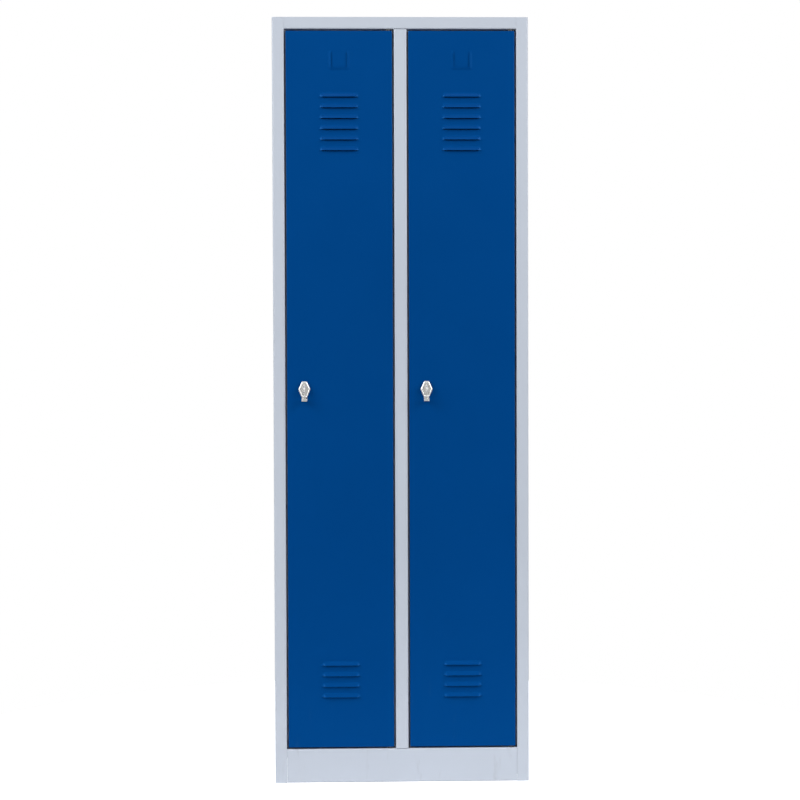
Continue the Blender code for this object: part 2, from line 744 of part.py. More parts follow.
def latch_cam(side, x):
    """The flat finger that hangs down when open and turns in behind the strike lip."""
    outline = arc((0.0, 0.0), CAM_ROUND, 0.0, 180.0, 9)
    outline += arc((0.0, CAM_TIP - CAM_REACH), CAM_TIP, 180.0, 360.0, 7)
    frame = Matrix.Translation((x, FRONT, LATCH_HEIGHT)) @ FACING_FRONT
    cam = flat_plate(f"{side}_latch_cam", outline, -CAM_FRONT - CAM_THICKNESS, -CAM_FRONT, frame, ZINC)
    hole = bmesh.new()
    add_square_hole(hole, x, FRONT + CAM_FRONT - SHEET, FRONT + CAM_FRONT + CAM_THICKNESS + SHEET)
    combine(cam, "DIFFERENCE", mesh_object(f"{side}_cam_hole", hole, None))
    return cam


def cam_screw(side, x):
    head_radius, head_height = SCREW_HEAD
    seat = CAM_FRONT + CAM_THICKNESS + GAP
    top, tip = seat + head_height, seat - SCREW_LENGTH
    profile = [
        (0.0, top), (head_radius, top), (head_radius, seat), (SCREW_RADIUS, seat),
        (SCREW_RADIUS, tip), (0.0, tip),
    ]
    frame = Matrix.Translation((x, FRONT, LATCH_HEIGHT)) @ ALONG_Y
    return turned(f"{side}_cam_screw", profile, frame, ZINC)


def door(side):
    """Everything that swings with the door, and the latch parts that turn in it."""
    x = latch_x(side)
    swing = pivot(f"{side}_door_axis", (hinge_x(side), HINGE_Y, OPENING_LOW))
    fixed = [door_panel(side), door_stiffener(side), latch_base(side, x), latch_nut(side, x)]
    fixed += [hinge(side, end) for end in ("bottom", "top")]
    hang(swing, fixed)
    turning = [latch_handle(side, x), latch_spindle(side, x), latch_cam(side, x), cam_screw(side, x)]
    hang(pivot(f"{side}_latch_axis", (x, FRONT, LATCH_HEIGHT), swing), turning)


centre_stile()
top_rail()
plinth()
roof_panel()
floor_panel()
back_panel()
centre_partition()
for locker_side in OPENINGS:
    side_panel(locker_side)
    buffers(locker_side)
    hat_shelf(locker_side)
    clothes_rail(locker_side)
    coat_hooks(locker_side)
    door(locker_side)
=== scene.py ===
"""The looks of a two-door school locker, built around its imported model.

Metres, +Z up, with the doors facing -Y. Folded sheet parts are open surfaces whose folds are
rounded before they get the sheet's thickness, so their bends and pressings are real geometry.
"""
import json
import math

import bmesh
import bpy
from mathutils import Matrix, Vector


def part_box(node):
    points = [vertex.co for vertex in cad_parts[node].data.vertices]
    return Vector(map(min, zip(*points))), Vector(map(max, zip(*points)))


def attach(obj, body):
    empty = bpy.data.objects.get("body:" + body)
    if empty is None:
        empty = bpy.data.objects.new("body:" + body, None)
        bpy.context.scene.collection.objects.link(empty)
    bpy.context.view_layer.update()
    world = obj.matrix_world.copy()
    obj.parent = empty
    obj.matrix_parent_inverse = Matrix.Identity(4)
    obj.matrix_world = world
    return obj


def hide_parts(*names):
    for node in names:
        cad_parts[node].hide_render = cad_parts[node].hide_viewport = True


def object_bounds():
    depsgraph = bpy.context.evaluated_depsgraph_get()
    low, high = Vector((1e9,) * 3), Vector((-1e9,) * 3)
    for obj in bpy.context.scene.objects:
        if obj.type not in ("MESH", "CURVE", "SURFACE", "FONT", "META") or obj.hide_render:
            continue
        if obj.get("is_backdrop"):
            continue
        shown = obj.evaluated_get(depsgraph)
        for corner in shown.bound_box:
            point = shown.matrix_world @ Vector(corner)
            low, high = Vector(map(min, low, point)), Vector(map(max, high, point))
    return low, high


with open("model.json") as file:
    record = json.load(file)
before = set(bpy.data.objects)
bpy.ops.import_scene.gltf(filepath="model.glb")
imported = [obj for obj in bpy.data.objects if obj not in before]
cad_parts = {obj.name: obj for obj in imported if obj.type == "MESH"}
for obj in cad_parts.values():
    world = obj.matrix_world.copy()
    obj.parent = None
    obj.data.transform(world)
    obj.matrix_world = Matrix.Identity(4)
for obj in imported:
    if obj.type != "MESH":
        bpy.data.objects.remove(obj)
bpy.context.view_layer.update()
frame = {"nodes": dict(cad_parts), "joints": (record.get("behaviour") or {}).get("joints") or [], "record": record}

SCENE = bpy.context.scene
JOINTS = {joint["name"]: joint for joint in frame["joints"]}
SIDES = ("left", "right")

# Sheet metal
SHEET = 0.0008
FRAME_SHEET = 0.0012
GAP = 0.0003
FRAME_BEND = 0.0036
PANEL_BEND = 0.0018
BEND_STEPS = 4
FOLD_ANGLE = math.radians(45)
SHARP_ANGLE = math.radians(32)

# Carcass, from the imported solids
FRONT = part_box("top_rail")[0].y
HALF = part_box("right_side_panel")[1].x
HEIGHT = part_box("back_panel")[1].z
BACK_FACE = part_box("right_side_panel")[1].y
RAIL_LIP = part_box("top_rail")[1].y - FRAME_SHEET
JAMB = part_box("top_rail")[1].x + GAP
STRIKE = FRONT + 0.024
STRIKE_LIP = 0.012
TOP_RAIL = 0.028
PLINTH = 0.080
PLINTH_FLANGE = 0.030
BACK_FLANGE = 0.015
FOOT_FLANGE = 0.020
OPENING_HIGH = HEIGHT - TOP_RAIL

# Holes through one sheet
SHEET_DRILL = 0.006
PIN_HOLE = 0.0034
BUSH_HOLE = 0.0053
BARREL_CLEARANCE = 0.0083

# Doors
DOOR_DEPTH = 0.020
DOOR_LIP = 0.012
LOUVRE_PITCH = 0.025
UPPER_LOUVRES = [1.614 - LOUVRE_PITCH * i for i in range(6)]
LOWER_LOUVRES = [0.278 - LOUVRE_PITCH * i for i in range(4)]
LOUVRE_MOUTHS = UPPER_LOUVRES + LOWER_LOUVRES
LOUVRE_RISE = 0.011
LOUVRE_STAND = 0.0058
LOUVRE_SLOT = 0.0015
LOUVRE_STRAIGHT = 0.036
LOUVRE_TAPER = 0.011
LOUVRE_STEPS = 7
LABEL_LOW = 1.675
LABEL_HIGH = 1.723
LABEL_HALF = 0.027
LABEL_BORDER = 0.0085
LABEL_RISE = 0.0018
LABEL_FADE = 0.009
LABEL_STEPS = 5
STIFFENER_HALF_WIDTHS = (0.030, 0.018, 0.012)

# Turn latch, measured from the spindle and outwards from the door's front face
DIAMOND_HALF_WIDTH = 0.0146
DIAMOND_HALF_HEIGHT = 0.0193
DIAMOND_FLAT = 0.0060
DIAMOND_FLAT_TAPER = 0.35
DIAMOND_ROUNDING = 0.16
DIAMOND_LEVELS = [
    (0.0006, 0.0021), (0.0, 0.0027), (0.0, 0.0042), (0.0007, 0.0056), (0.0020, 0.0066),
    (0.0028, 0.0068), (0.0034, 0.0066), (0.0042, 0.0058), (0.0050, 0.0056),
]
FIN_TIP = 0.0210
FIN_ROOT = 0.0040
FIN_SHOULDER = 0.0062
FIN_FOOT = 0.0115
FIN_HALF = 0.002
EYE_RADIUS = 0.0035
EYE_STAND = 0.0140
STRAP_HALF_WIDTH = 0.0063
STRAP_FACE = 0.0018
LUG_ROOT = 0.001
LUG_TIP = 0.0205
LUG_TOP = 0.0214
LUG_BOTTOM = 0.0275
LUG_CORNER = 0.003
BARREL_RADIUS = 0.008
BARREL_HOLE = 0.0047
CAM_ROUND = 0.009
CAM_TIP = 0.006
CAM_SQUARE = 0.0033

# Inside
RAIL_WALL = 0.0012
SOCKET_PROFILE = [
    (0.0, 0.002), (0.0083, 0.002), (0.0083, 0.012), (0.010, 0.012), (0.010, 0.0024),
    (0.0104, 0.002), (0.014, 0.0017), (0.014, 0.0), (0.0, 0.0),
]
HOOKS_PER_RAIL = 3
RING_RADIUS = 0.0115
RING_DROP = 0.0012
RING_ENDS = (-70.0, 250.0)
SHANK = [(-0.0024, -0.0160), (-0.0007, -0.0200), (0.0, -0.0250), (0.0, -0.050)]
BOWL_RADIUS = 0.009
BOWL_TIP = (-0.018, -0.042)
CAD_WIRE_RADIUS = 0.002
WIRE_RADIUS = 0.00195

# Stage, lights and camera
STAGE_RADIUS = 1.3
STAGE_DROP = 0.0002
FLOOR_ALBEDO = 0.85
SURROUND_COLOUR = (1.0, 0.99, 0.97, 1.0)
SURROUND_STRENGTH = 0.24
OVERHEAD_ENERGY = 0.45
OVERHEAD_ANGLE = math.radians(50)
LIGHTS_AIM = Vector((0.0, 0.0, 1.3))
COOL_WHITE = (0.96, 0.98, 1.0)
WARM_WHITE = (1.0, 0.97, 0.94)
SOFTBOXES = {
    "key": ((-3.6, -2.3, 2.9), (2.2, 3.0), 158.0, COOL_WHITE),
    "fill": ((3.6, -2.3, 2.9), (2.2, 3.0), 150.0, COOL_WHITE),
    "front": ((-0.3, -6.4, 4.6), (3.4, 1.6), 50.0, WARM_WHITE),
}
CAMERA_LENS = 95.36
CAMERA_PLACE = (-0.1545, FRONT - 4.9793, 1.0493)
CAMERA_TURN = (88.324, 0.183, -1.749)

# Helper solids for the Booleans, removed again before the end
TOOLS = []
TURNS = {
    "X": Matrix.Rotation(math.radians(90), 4, "Y"),
    "Y": Matrix.Rotation(math.radians(-90), 4, "X"),
    "Z": Matrix(),
}


# Geometry helpers

def smooth(t):
    t = min(max(t, 0.0), 1.0)
    return t * t * (3.0 - 2.0 * t)


def arc(centre, radius, start, end, count):
    """Points along an arc, with the angles in degrees."""
    angles = [math.radians(start + (end - start) * i / (count - 1)) for i in range(count)]
    return [(centre[0] + radius * math.cos(a), centre[1] + radius * math.sin(a)) for a in angles]


def mirrored(profile):
    return [(-x, y) for x, y in reversed(profile)]


def link(name, data):
    piece = bpy.data.objects.new(name, data)
    SCENE.collection.objects.link(piece)
    return piece


def evaluated(shape, *steps):
    """The mesh that is left when modifiers are applied to a bmesh."""
    mesh = bpy.data.meshes.new("draft")
    shape.to_mesh(mesh)
    shape.free()
    draft = link("draft", mesh)
    for kind, settings in steps:
        step = draft.modifiers.new(kind, kind)
        for key, value in settings.items():
            setattr(step, key, value)
    bpy.context.view_layer.update()
    result = bpy.data.meshes.new_from_object(draft.evaluated_get(bpy.context.evaluated_depsgraph_get()))
    bpy.data.objects.remove(draft, do_unlink=True)
    return result


def solidify(thickness):
    return "SOLIDIFY", {"thickness": thickness, "offset": -1.0, "use_even_offset": True}


def bevel(width, segments=3, angle=35.0):
    return "BEVEL", {"width": width, "segments": segments, "limit_method": "ANGLE",
                     "angle_limit": math.radians(angle), "use_clamp_overlap": True}


def cut(cutter):
    return "BOOLEAN", {"operation": "DIFFERENCE", "solver": "EXACT", "object": cutter}


def join(other):
    return "BOOLEAN", {"operation": "UNION", "solver": "EXACT", "object": other}


def tool_object(shape):
    """A helper solid made of a bmesh."""
    bmesh.ops.recalc_face_normals(shape, faces=shape.faces)
    mesh = bpy.data.meshes.new("tool")
    shape.to_mesh(mesh)
    shape.free()
    return keep_tool(mesh)


def keep_tool(mesh):
    tool = link("tool", mesh)
    tool.hide_render = True
    TOOLS.append(tool)
    return tool


def add_box(shape, low, high):
    low, high = Vector(low), Vector(high)
    place = Matrix.Translation((low + high) / 2) @ Matrix.Diagonal((*(high - low), 1.0))
    bmesh.ops.create_cube(shape, size=1.0, matrix=place)


def add_cylinder(shape, centre, radius, length, axis, segments=48):
    bmesh.ops.create_cone(
        shape, cap_ends=True, segments=segments, radius1=radius, radius2=radius,
        depth=length, matrix=Matrix.Translation(centre) @ TURNS[axis])


def finish_piece(name, mesh, material, body, nodes):
    """Make a piece of a mesh: smooth it, dress it and hang it on its body."""
    mesh.name = name
    mesh.materials.clear()
    mesh.materials.append(material)
    mesh.shade_smooth()
    mesh.set_sharp_from_angle(angle=SHARP_ANGLE)
    piece = link(name, mesh)
    weights = piece.modifiers.new("flat_face_normals", "WEIGHTED_NORMAL")
    weights.keep_sharp = True
    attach(piece, body)
    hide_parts(*nodes)


def round_folds(shape, bend):
    folds = [edge for edge in shape.edges
             if len(edge.link_faces) == 2 and edge.calc_face_angle(0.0) > FOLD_ANGLE]
    bmesh.ops.bevel(shape, geom=folds, offset=bend, segments=BEND_STEPS, profile=0.5,
                    affect="EDGES", clamp_overlap=True)


def sheet_strip(profile, plane, levels, left_out=()):
    """An open surface: a 2D profile, metal on its left, swept through the levels."""
    spots = {
        "XY": lambda u, v, w: (u, v, w),
        "YZ": lambda u, v, w: (w, u, v),
        "ZX": lambda u, v, w: (v, w, u),
    }
    shape = bmesh.new()
    grid = [[shape.verts.new(spots[plane](u, v, w)) for u, v in profile] for w in levels]
    for bay in range(len(levels) - 1):
        for fold in range(len(profile) - 1):
            if (fold, bay) not in left_out:
                shape.faces.new((grid[bay][fold], grid[bay][fold + 1],
                                 grid[bay + 1][fold + 1], grid[bay + 1][fold]))
    loose = [vert for vert in shape.verts if not vert.link_faces]
    bmesh.ops.delete(shape, geom=loose, context="VERTS")
    return shape


def pan_surface(low, high):
    """A tray's open surface: a flat top at high.z with four flanges down to low.z."""
    shape = bmesh.new()
    bmesh.ops.create_grid(shape, x_segments=1, y_segments=1, size=0.5)
    centre = (low + high) / 2
    stretch = Matrix.Diagonal((high.x - low.x, high.y - low.y, 1.0, 1.0))
    place = Matrix.Translation((centre.x, centre.y, high.z)) @ stretch
    bmesh.ops.transform(shape, matrix=place, verts=shape.verts)
    bmesh.ops.translate(shape, vec=(0.0, 0.0, low.z - high.z), verts=grow_rim(shape, shape.edges))
    bmesh.ops.recalc_face_normals(shape, faces=shape.faces)
    return shape


def grow_rim(shape, edges):
    rim = [edge for edge in edges if edge.is_boundary]
    grown = bmesh.ops.extrude_edge_only(shape, edges=rim)["geom"]
    return [item for item in grown if isinstance(item, bmesh.types.BMVert)]


# Materials

class Nodes:
    """A short way to lay out a material's nodes."""

    def __init__(self, name):
        self.material = bpy.data.materials.new(name)
        self.material.use_nodes = True
        self.tree = self.material.node_tree
        self.shader = self.tree.nodes["Principled BSDF"]
        self.place = self.add("ShaderNodeTexCoord").outputs["Object"]

    def add(self, kind, **settings):
        node = self.tree.nodes.new(kind)
        for key, value in settings.items():
            setattr(node, key, value)
        return node

    def wire(self, source, target):
        self.tree.links.new(source, target)

    def noise(self, scale, detail=3.0, roughness=0.55, stretch=None):
        node = self.add("ShaderNodeTexNoise")
        node.inputs["Scale"].default_value = scale
        node.inputs["Detail"].default_value = detail
        node.inputs["Roughness"].default_value = roughness
        self.wire(self.stretched(stretch), node.inputs["Vector"])
        return node.outputs["Fac"]

    def stretched(self, stretch):
        if stretch is None:
            return self.place
        mapping = self.add("ShaderNodeMapping")
        mapping.inputs["Scale"].default_value = stretch
        self.wire(self.place, mapping.inputs["Vector"])
        return mapping.outputs["Vector"]

    def spread(self, value, low, high, out_low, out_high):
        node = self.add("ShaderNodeMapRange")
        for key, number in (("From Min", low), ("From Max", high), ("To Min", out_low), ("To Max", out_high)):
            node.inputs[key].default_value = number
        self.wire(value, node.inputs["Value"])
        return node.outputs["Result"]

    def blend(self, factor, first, second):
        node = self.add("ShaderNodeMix", data_type="RGBA")
        self.wire(factor, node.inputs["Factor"])
        for socket, value in ((node.inputs[6], first), (node.inputs[7], second)):
            if isinstance(value, tuple):
                socket.default_value = (*value, 1.0)
            else:
                self.wire(value, socket)
        return node.outputs[2]

    def product(self, first, second):
        node = self.add("ShaderNodeMath", operation="MULTIPLY")
        self.wire(first, node.inputs[0])
        self.wire(second, node.inputs[1])
        return node.outputs[0]

    def bump(self, height, strength, distance, under=None):
        node = self.add("ShaderNodeBump")
        node.inputs["Strength"].default_value = strength
        node.inputs["Distance"].default_value = distance
        self.wire(height, node.inputs["Height"])
        if under is not None:
            self.wire(under, node.inputs["Normal"])
        return node.outputs["Normal"]

    def finish(self, colour, roughness, normal):
        self.wire(colour, self.shader.inputs["Base Color"])
        self.wire(roughness, self.shader.inputs["Roughness"])
        self.wire(normal, self.shader.inputs["Normal"])
        return self.material


def scaled(colour, factor):
    return tuple(channel * factor for channel in colour)


def powder_coat(name, colour, scuffed, tint, coat):
    """Satin powder coat: orange peel, a faint cloudiness, and rubbed scuffs low down."""
    nodes = Nodes(name)
    nodes.shader.inputs["Specular IOR Level"].default_value = 0.4
    nodes.shader.inputs["Specular Tint"].default_value = (*tint, 1.0)
    nodes.shader.inputs["Coat Weight"].default_value = coat
    nodes.shader.inputs["Coat Roughness"].default_value = 0.18
    cloud = nodes.spread(nodes.noise(scale=2.3, detail=4.0), 0.35, 0.65, 0.0, 1.0)
    paint = nodes.blend(cloud, scaled(colour, 0.975), scaled(colour, 1.025))
    height = nodes.add("ShaderNodeSeparateXYZ")
    nodes.wire(nodes.place, height.inputs["Vector"])
    low_down = nodes.spread(height.outputs["Z"], 0.02, 0.30, 1.0, 0.0)
    smears = nodes.noise(scale=38.0, detail=6.0, stretch=(1.0, 1.0, 0.22))
    streaks = nodes.spread(smears, 0.60, 0.72, 0.0, 1.0)
    rubs = nodes.product(low_down, streaks)
    surface = nodes.blend(nodes.spread(rubs, 0.0, 1.0, 0.0, 0.35), paint, scuffed)
    shine = nodes.spread(nodes.noise(scale=11.0, detail=5.0), 0.3, 0.7, 0.36, 0.44)
    peel = nodes.bump(nodes.noise(scale=620.0, detail=2.0), 0.20, 0.00025)
    waves = nodes.bump(nodes.noise(scale=5.0, detail=1.0), 0.05, 0.004, under=peel)
    return nodes.finish(surface, shine, waves)


def plated(name, colour, metallic, low, high, grain, brushing):
    """Plated metal: uneven brightness, fine directional rubbing and a slight grain."""
    nodes = Nodes(name)
    nodes.shader.inputs["Metallic"].default_value = metallic
    tone = nodes.spread(nodes.noise(scale=45.0, detail=4.0), 0.35, 0.65, 0.0, 1.0)
    metal = nodes.blend(tone, scaled(colour, 0.93), scaled(colour, 1.03))
    rubbed = nodes.noise(scale=260.0, detail=5.0, stretch=brushing)
    shine = nodes.spread(rubbed, 0.3, 0.7, low, high)
    return nodes.finish(metal, shine, nodes.bump(nodes.noise(scale=900.0, detail=2.0), grain, 0.0001))


def moulded(name, colour, low, high, grain):
    """Rubber, nylon or black oxide: a dull, slightly mottled skin."""
    nodes = Nodes(name)
    tone = nodes.spread(nodes.noise(scale=90.0, detail=3.0), 0.3, 0.7, 0.0, 1.0)
    skin = nodes.blend(tone, scaled(colour, 0.9), scaled(colour, 1.1))
    shine = nodes.spread(nodes.noise(scale=300.0), 0.3, 0.7, low, high)
    return nodes.finish(skin, shine, nodes.bump(nodes.noise(scale=1500.0), grain, 0.0001))


GREY = powder_coat("grey_powder_coat", (0.525, 0.568, 0.645), (0.30, 0.31, 0.33), (1.0, 1.0, 1.0), 0.35)
BLUE = powder_coat("blue_powder_coat", (0.0, 0.050, 0.215), (0.03, 0.09, 0.24), (0.02, 0.35, 1.0), 0.0)
CHROME = plated("bright_chrome", (0.90, 0.89, 0.87), 0.60, 0.20, 0.32, 0.15, (1.0, 1.0, 0.2))
ZINC = plated("zinc_plate", (0.66, 0.68, 0.69), 1.0, 0.26, 0.42, 0.30, (0.2, 1.0, 1.0))
RUBBER = moulded("black_rubber", (0.022, 0.022, 0.024), 0.65, 0.85, 0.4)
# Black nylon and black oxide are real finishes, but their dark colour on the hinge bushes and pins is also painted
# shade for the door gaps, where these parts show.
NYLON_AND_GAP_SHADE = moulded("black_nylon", (0.035, 0.035, 0.038), 0.40, 0.55, 0.2)
BLACK_STEEL_AND_GAP_SHADE = moulded("black_steel", (0.045, 0.045, 0.048), 0.35, 0.50, 0.1)


# Carcass

def carcass_sheet(name, shape, thickness, bend):
    round_folds(shape, bend)
    mesh = evaluated(shape, solidify(thickness))
    finish_piece(f"{name}_formed", mesh, GREY, "carcass", [name])


def side_panel(side):
    profile = [
        (BACK_FLANGE - HALF, BACK_FACE), (-HALF, BACK_FACE), (-HALF, FRONT),
        (-JAMB, FRONT), (-JAMB, STRIKE), (STRIKE_LIP - JAMB, STRIKE),
    ]
    notches = {(3, 0), (4, 0), (0, 2), (3, 2), (4, 2)}
    if side == "right":
        profile = mirrored(profile)
        notches = {(len(profile) - 2 - fold, bay) for fold, bay in notches}
    levels = (0.0, PLINTH, OPENING_HIGH, HEIGHT)
    carcass_sheet(f"{side}_side_panel", sheet_strip(profile, "XY", levels, notches), SHEET, FRAME_BEND)


def centre_stile():
    low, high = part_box("centre_stile")
    half = high.x - STRIKE_LIP
    profile = [
        (low.x, STRIKE), (-half, STRIKE), (-half, FRONT),
        (half, FRONT), (half, STRIKE), (high.x, STRIKE),
    ]
    carcass_sheet("centre_stile", sheet_strip(profile, "XY", (low.z, high.z)), FRAME_SHEET, FRAME_BEND)


def rail_sheet(name, profile):
    """The top rail or the plinth, drilled for the hinge pins."""
    low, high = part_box(name)
    shape = sheet_strip(profile, "YZ", (low.x, high.x))
    round_folds(shape, FRAME_BEND)
    drill = bmesh.new()
    level = OPENING_HIGH if name == "top_rail" else PLINTH
    for side in SIDES:
        x, y, _ = JOINTS[f"{side}_door_hinge"]["pos_m"]
        add_cylinder(drill, (x, y, level), PIN_HOLE, SHEET_DRILL, "Z")
    mesh = evaluated(shape, solidify(FRAME_SHEET), cut(tool_object(drill)))
    finish_piece(f"{name}_formed", mesh, GREY, "carcass", [name])


def carcass_trays():
    for name in ("roof_panel", "left_hat_shelf", "right_hat_shelf"):
        low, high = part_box(name)
        carcass_sheet(name, pan_surface(low, high), SHEET, PANEL_BEND)


def floor_panel():
    low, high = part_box("floor_panel")
    profile = [
        (0.0, low.x + FOOT_FLANGE), (0.0, low.x), (high.z, low.x),
        (high.z, high.x), (0.0, high.x), (0.0, high.x - FOOT_FLANGE),
    ]
    carcass_sheet("floor_panel", sheet_strip(profile, "ZX", (low.y, high.y)), SHEET, PANEL_BEND)


def centre_partition():
    low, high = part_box("centre_partition")
    wall = -SHEET / 2
    notch = BACK_FACE - SHEET - 2 * GAP
    front = low.y + SHEET
    profile = [(high.x, BACK_FACE), (wall, BACK_FACE), (wall, notch), (wall, front), (low.x, front)]
    levels = (low.z, HEIGHT - BACK_FLANGE - GAP, high.z)
    shape = sheet_strip(profile, "XY", levels, {(0, 1), (1, 1)})
    carcass_sheet("centre_partition", shape, SHEET, PANEL_BEND)


def back_panel():
    """The flat back sheet, with its corners and cut edges eased."""
    low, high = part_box("back_panel")
    shape = bmesh.new()
    add_box(shape, low, high)
    mesh = evaluated(shape, bevel(0.0003, 2))
    finish_piece("back_panel_formed", mesh, GREY, "carcass", ["back_panel"])


# Doors

def hood_length(x):
    """How far a louvre stands out along its length, as a share of its most."""
    return 1.0 - smooth((abs(x) - LOUVRE_STRAIGHT) / LOUVRE_TAPER)


def hood_rise(t):
    """How far a louvre stands out from its lip (0) to where it meets the skin (1)."""
    start = 0.22
    return (1.0 - smooth(start + (1.0 - start) * t)) / (1.0 - smooth(start))


def label_height(x, z):
    """The label pocket's border, highest along its cut inner edge."""
    out_x = abs(x) - (LABEL_HALF - LABEL_BORDER)
    out_z = (LABEL_LOW + LABEL_BORDER) - z
    away = math.hypot(max(out_x, 0.0), max(out_z, 0.0))
    fade = 1.0 - smooth((z - LABEL_HIGH + LABEL_FADE) / LABEL_FADE)
    return LABEL_RISE * (1.0 - smooth(away / LABEL_BORDER)) * fade


def skin_point(x, z, patch):
    """Where a point of the door's skin goes, and how far out, for the patch that it belongs to."""
    px, pz = patch
    for mouth in LOUVRE_MOUTHS:
        if mouth < pz < mouth + LOUVRE_RISE:
            return z, LOUVRE_STAND * hood_length(x) * hood_rise((z - mouth) / LOUVRE_RISE)
        if abs(z - mouth) < 1e-6:
            return z - LOUVRE_SLOT * hood_length(x), 0.0
    inside = abs(px) < LABEL_HALF - LABEL_BORDER and pz > LABEL_LOW + LABEL_BORDER
    if not inside and abs(px) < LABEL_HALF and LABEL_LOW < pz < LABEL_HIGH:
        return z, label_height(x, z)
    return z, 0.0


def spaced(low, high, steps):
    return [low + (high - low) * i / steps for i in range(steps + 1)]


def door_columns(half):
    """Distances from the door's middle: close together where the pressings bend."""
    ends = LOUVRE_STRAIGHT + LOUVRE_TAPER
    inner = LABEL_HALF - LABEL_BORDER
    right = [0.0, 0.009] + spaced(inner, LABEL_HALF, LABEL_STEPS)
    right += spaced(LOUVRE_STRAIGHT, ends, LOUVRE_STEPS) + [half]
    return sorted({round(sign * x, 6) for x in right for sign in (-1.0, 1.0)})


def door_rows(low, high):
    rows = [low, high]
    for mouth in LOUVRE_MOUTHS:
        rows += spaced(mouth, mouth + LOUVRE_RISE, LOUVRE_STEPS)
        rows.append(mouth - (LOUVRE_PITCH - LOUVRE_RISE) / 2)
    rows += spaced(LABEL_LOW, LABEL_LOW + LABEL_BORDER, LABEL_STEPS)
    rows += spaced(LABEL_HIGH - LABEL_FADE, LABEL_HIGH, LABEL_STEPS)
    return sorted({round(z, 6) for z in rows})


def door_skin(middle, half, low, high):
    """The front sheet: flat, with lanced louvres and a lanced label pocket."""
    shape = bmesh.new()
    columns = door_columns(half)
    rows = door_rows(low, high)
    for z0, z1 in zip(rows, rows[1:]):
        for x0, x1 in zip(columns, columns[1:]):
            patch = ((x0 + x1) / 2, (z0 + z1) / 2)
            corners = []
            for x, z in ((x0, z0), (x1, z0), (x1, z1), (x0, z1)):
                level, out = skin_point(x, z, patch)
                corners.append(shape.verts.new((middle + x, FRONT - out, level)))
            shape.faces.new(corners)
    bmesh.ops.remove_doubles(shape, verts=shape.verts, dist=2e-6)
    return shape


def door_panel(side):
    """The folded door: skin, four flanges and four return lips from one sheet."""
    low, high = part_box(f"{side}_door_panel")
    middle, half = (low.x + high.x) / 2, (high.x - low.x) / 2
    shape = door_skin(middle, half, low.z, high.z)

    def on_outline(vert):
        to_sides = min(abs(vert.co.x - low.x), abs(vert.co.x - high.x))
        to_ends = min(abs(vert.co.z - low.z), abs(vert.co.z - high.z))
        return min(to_sides, to_ends) < 1e-5

    outline = [edge for edge in shape.edges if edge.is_boundary and all(map(on_outline, edge.verts))]
    rim = grow_rim(shape, outline)
    bmesh.ops.translate(shape, vec=(0.0, DOOR_DEPTH, 0.0), verts=rim)
    back_rim = set(rim)
    edges = [edge for edge in shape.edges if edge.is_boundary and all(v in back_rim for v in edge.verts)]
    lips = grow_rim(shape, edges)
    centre = Vector((middle, 0.0, (low.z + high.z) / 2))
    inward = Matrix.Diagonal((1 - DOOR_LIP / half, 1.0, 1 - 2 * DOOR_LIP / (high.z - low.z), 1.0))
    shrink = Matrix.Translation(centre) @ inward @ Matrix.Translation(-centre)
    bmesh.ops.transform(shape, matrix=shrink, verts=lips)
    bmesh.ops.recalc_face_normals(shape, faces=shape.faces)
    round_folds(shape, PANEL_BEND)
    drill = bmesh.new()
    add_cylinder(drill, JOINTS[f"{side}_latch_turn"]["pos_m"], BARREL_CLEARANCE, SHEET_DRILL, "Y")
    x, y, _ = JOINTS[f"{side}_door_hinge"]["pos_m"]
    for level in (low.z, high.z):
        add_cylinder(drill, (x, y, level), BUSH_HOLE, SHEET_DRILL, "Z")
    mesh = evaluated(shape, solidify(SHEET), cut(tool_object(drill)))
    name = f"{side}_door_panel"
    finish_piece(f"{name}_formed", mesh, BLUE, f"{side}_door", [name])


def door_stiffener(side):
    low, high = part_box(f"{side}_door_stiffener")
    middle = (low.x + high.x) / 2
    brim, foot, crown = STIFFENER_HALF_WIDTHS
    half = [(-brim, low.y), (-foot, low.y), (-crown, high.y - SHEET)]
    profile = [(middle + u, v) for u, v in half + mirrored(half)]
    shape = sheet_strip(profile, "XY", (low.z, high.z))
    round_folds(shape, PANEL_BEND)
    mesh = evaluated(shape, solidify(SHEET))
    name = f"{side}_door_stiffener"
    finish_piece(f"{name}_formed", mesh, BLUE, f"{side}_door", [name])


# Turn latch

def diamond_loop(inset):
    """The handle's outline, drawn smaller by an inset, with its six corners rounded."""
    half_w, half_h = DIAMOND_HALF_WIDTH - inset, DIAMOND_HALF_HEIGHT - inset
    flat = DIAMOND_FLAT - DIAMOND_FLAT_TAPER * inset
    corners = [Vector(corner) for corner in ((half_w, 0.0), (flat, half_h), (-flat, half_h))]
    corners += [-corner for corner in corners]
    loop = []
    for i, corner in enumerate(corners):
        before, after = corners[i - 1], corners[(i + 1) % len(corners)]
        start, end = corner.lerp(before, DIAMOND_ROUNDING), corner.lerp(after, DIAMOND_ROUNDING)
        for t in (0.0, 0.25, 0.5, 0.75, 1.0):
            loop.append(start.lerp(corner, t).lerp(corner.lerp(end, t), t))
    return loop


def loft(shape, loops):
    """Closed skin through a list of equally long loops of points, capped at both ends."""
    rings = [[shape.verts.new(point) for point in loop] for loop in loops]
    for ring, following in zip(rings, rings[1:]):
        for i in range(len(ring)):
            j = (i + 1) % len(ring)
            shape.faces.new((ring[i], ring[j], following[j], following[i]))
    shape.faces.new(list(reversed(rings[0])))
    shape.faces.new(rings[-1])


def extruded(outline, spot, low, high):
    """A flat outline as a closed solid between two depths, placed by the spot function."""
    shape = bmesh.new()
    loft(shape, [[spot(u, v, depth) for u, v in outline] for depth in (low, high)])
    bmesh.ops.recalc_face_normals(shape, faces=shape.faces)
    return shape


